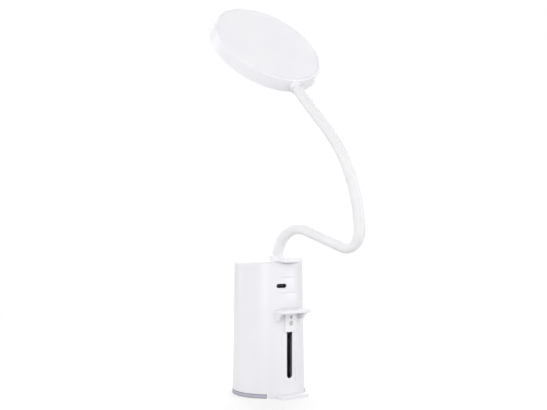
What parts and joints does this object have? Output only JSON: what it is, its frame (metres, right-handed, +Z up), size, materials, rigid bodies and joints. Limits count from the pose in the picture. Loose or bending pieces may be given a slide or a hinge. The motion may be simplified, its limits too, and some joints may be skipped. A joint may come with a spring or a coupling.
{
  "type": "clamp-on gooseneck lamp",
  "caption": "Rechargeable gooseneck lamp: tapered round battery base with a spring-loaded clamp jaw on its back, flexible neck and flat round light head.",
  "frame": {"origin": "centre of the underside of the round base, on the surface it stands on", "axes": "+Z up the base; +Y towards the clamp jaw and charging inlet side; light faces towards -Y and down"},
  "size_m": [0.1042, 0.1527, 0.3447],
  "materials": {
    "white_shell": "satin",
    "white_button": "satin",
    "dark_rubber": "matte",
    "white_rubber": "matte",
    "neck_silicone": "matte",
    "black_nylon": "matte",
    "steel": "satin",
    "cell_can": "satin",
    "circuit_board": "satin",
    "chip_plastic": "matte",
    "led_face": "satin",
    "frosted_diffuser": "satin",
    "aluminium_plate": "satin"
  },
  "bodies": {
    "base": {"base_shell": "white_shell", "bottom_cover": "white_shell", "foot_pad": "dark_rubber", "bottom_screws": "steel", "upper_jaw": "white_shell", "upper_jaw_pad": "white_rubber", "battery_holder": "black_nylon", "battery_cells": "cell_can", "main_board": "circuit_board", "board_parts": "chip_plastic", "switch_board": "circuit_board", "button_switch": "black_nylon", "usb_c_socket": "steel", "spring_pin": "steel", "jaw_spring": "steel", "neck_collar": "white_shell", "neck_nut": "steel", "neck_root": "neck_silicone"},
    "jaw": {"jaw_slider": "white_shell", "jaw_pad": "white_rubber", "slider_block": "black_nylon", "slider_screws": "steel"},
    "button": {"power_button": "white_button"},
    "neck_1": {"neck_link_1": "neck_silicone"},
    "neck_2": {"neck_link_2": "neck_silicone"},
    "neck_3": {"neck_link_3": "neck_silicone"},
    "neck_4": {"neck_link_4": "neck_silicone"},
    "neck_5": {"neck_link_5": "neck_silicone"},
    "head": {"neck_tip": "neck_silicone", "head_back_cover": "white_shell", "light_ring": "white_shell", "diffuser": "frosted_diffuser", "led_board": "circuit_board", "heat_plate": "aluminium_plate", "led_chips": "led_face", "ferrule_clamp": "black_nylon"}
  },
  "joints": [
    {"name": "neck_root_bend", "type": "hinge", "parent": "base", "child": "neck_1", "pos_m": [-0.00012, 0.01426, 0.12581], "axis": [0.9925, 0.1219, 0], "range_deg": [-20, 30]},
    {"name": "neck_swing", "type": "hinge", "parent": "neck_1", "child": "neck_2", "pos_m": [-0.00519, 0.05555, 0.14147], "axis": [-0.036, 0.2935, 0.9553], "range_deg": [-35, 35]},
    {"name": "neck_elbow_bend", "type": "hinge", "parent": "neck_2", "child": "neck_3", "pos_m": [-0.00868, 0.084, 0.13259], "axis": [0.9925, 0.1219, 0], "range_deg": [-25, 30]},
    {"name": "neck_arc_bend", "type": "hinge", "parent": "neck_3", "child": "neck_4", "pos_m": [-0.0107, 0.10043, 0.1821], "axis": [0.9925, 0.1219, 0], "range_deg": [-25, 25]},
    {"name": "head_swing", "type": "hinge", "parent": "neck_4", "child": "neck_5", "pos_m": [-0.00779, 0.07677, 0.22344], "axis": [0.0924, -0.7524, -0.6522], "range_deg": [-35, 35]},
    {"name": "head_tilt", "type": "hinge", "parent": "neck_5", "child": "head", "pos_m": [-0.00426, 0.04797, 0.2538], "axis": [0.9925, 0.1219, 0], "range_deg": [-35, 35]},
    {"name": "jaw_slide", "type": "slide", "parent": "base", "child": "jaw", "axis": [0, 0, -1], "range_m": [0, 0.04], "stiffness_N_per_m": 120, "springref_m": -0.02, "deforming": ["jaw_spring"]},
    {"name": "button_press", "type": "slide", "parent": "base", "child": "button", "axis": [0, 1, 0], "range_m": [0, 0.0007], "stiffness_N_per_m": 400, "springref_m": -0.001}
  ]
}
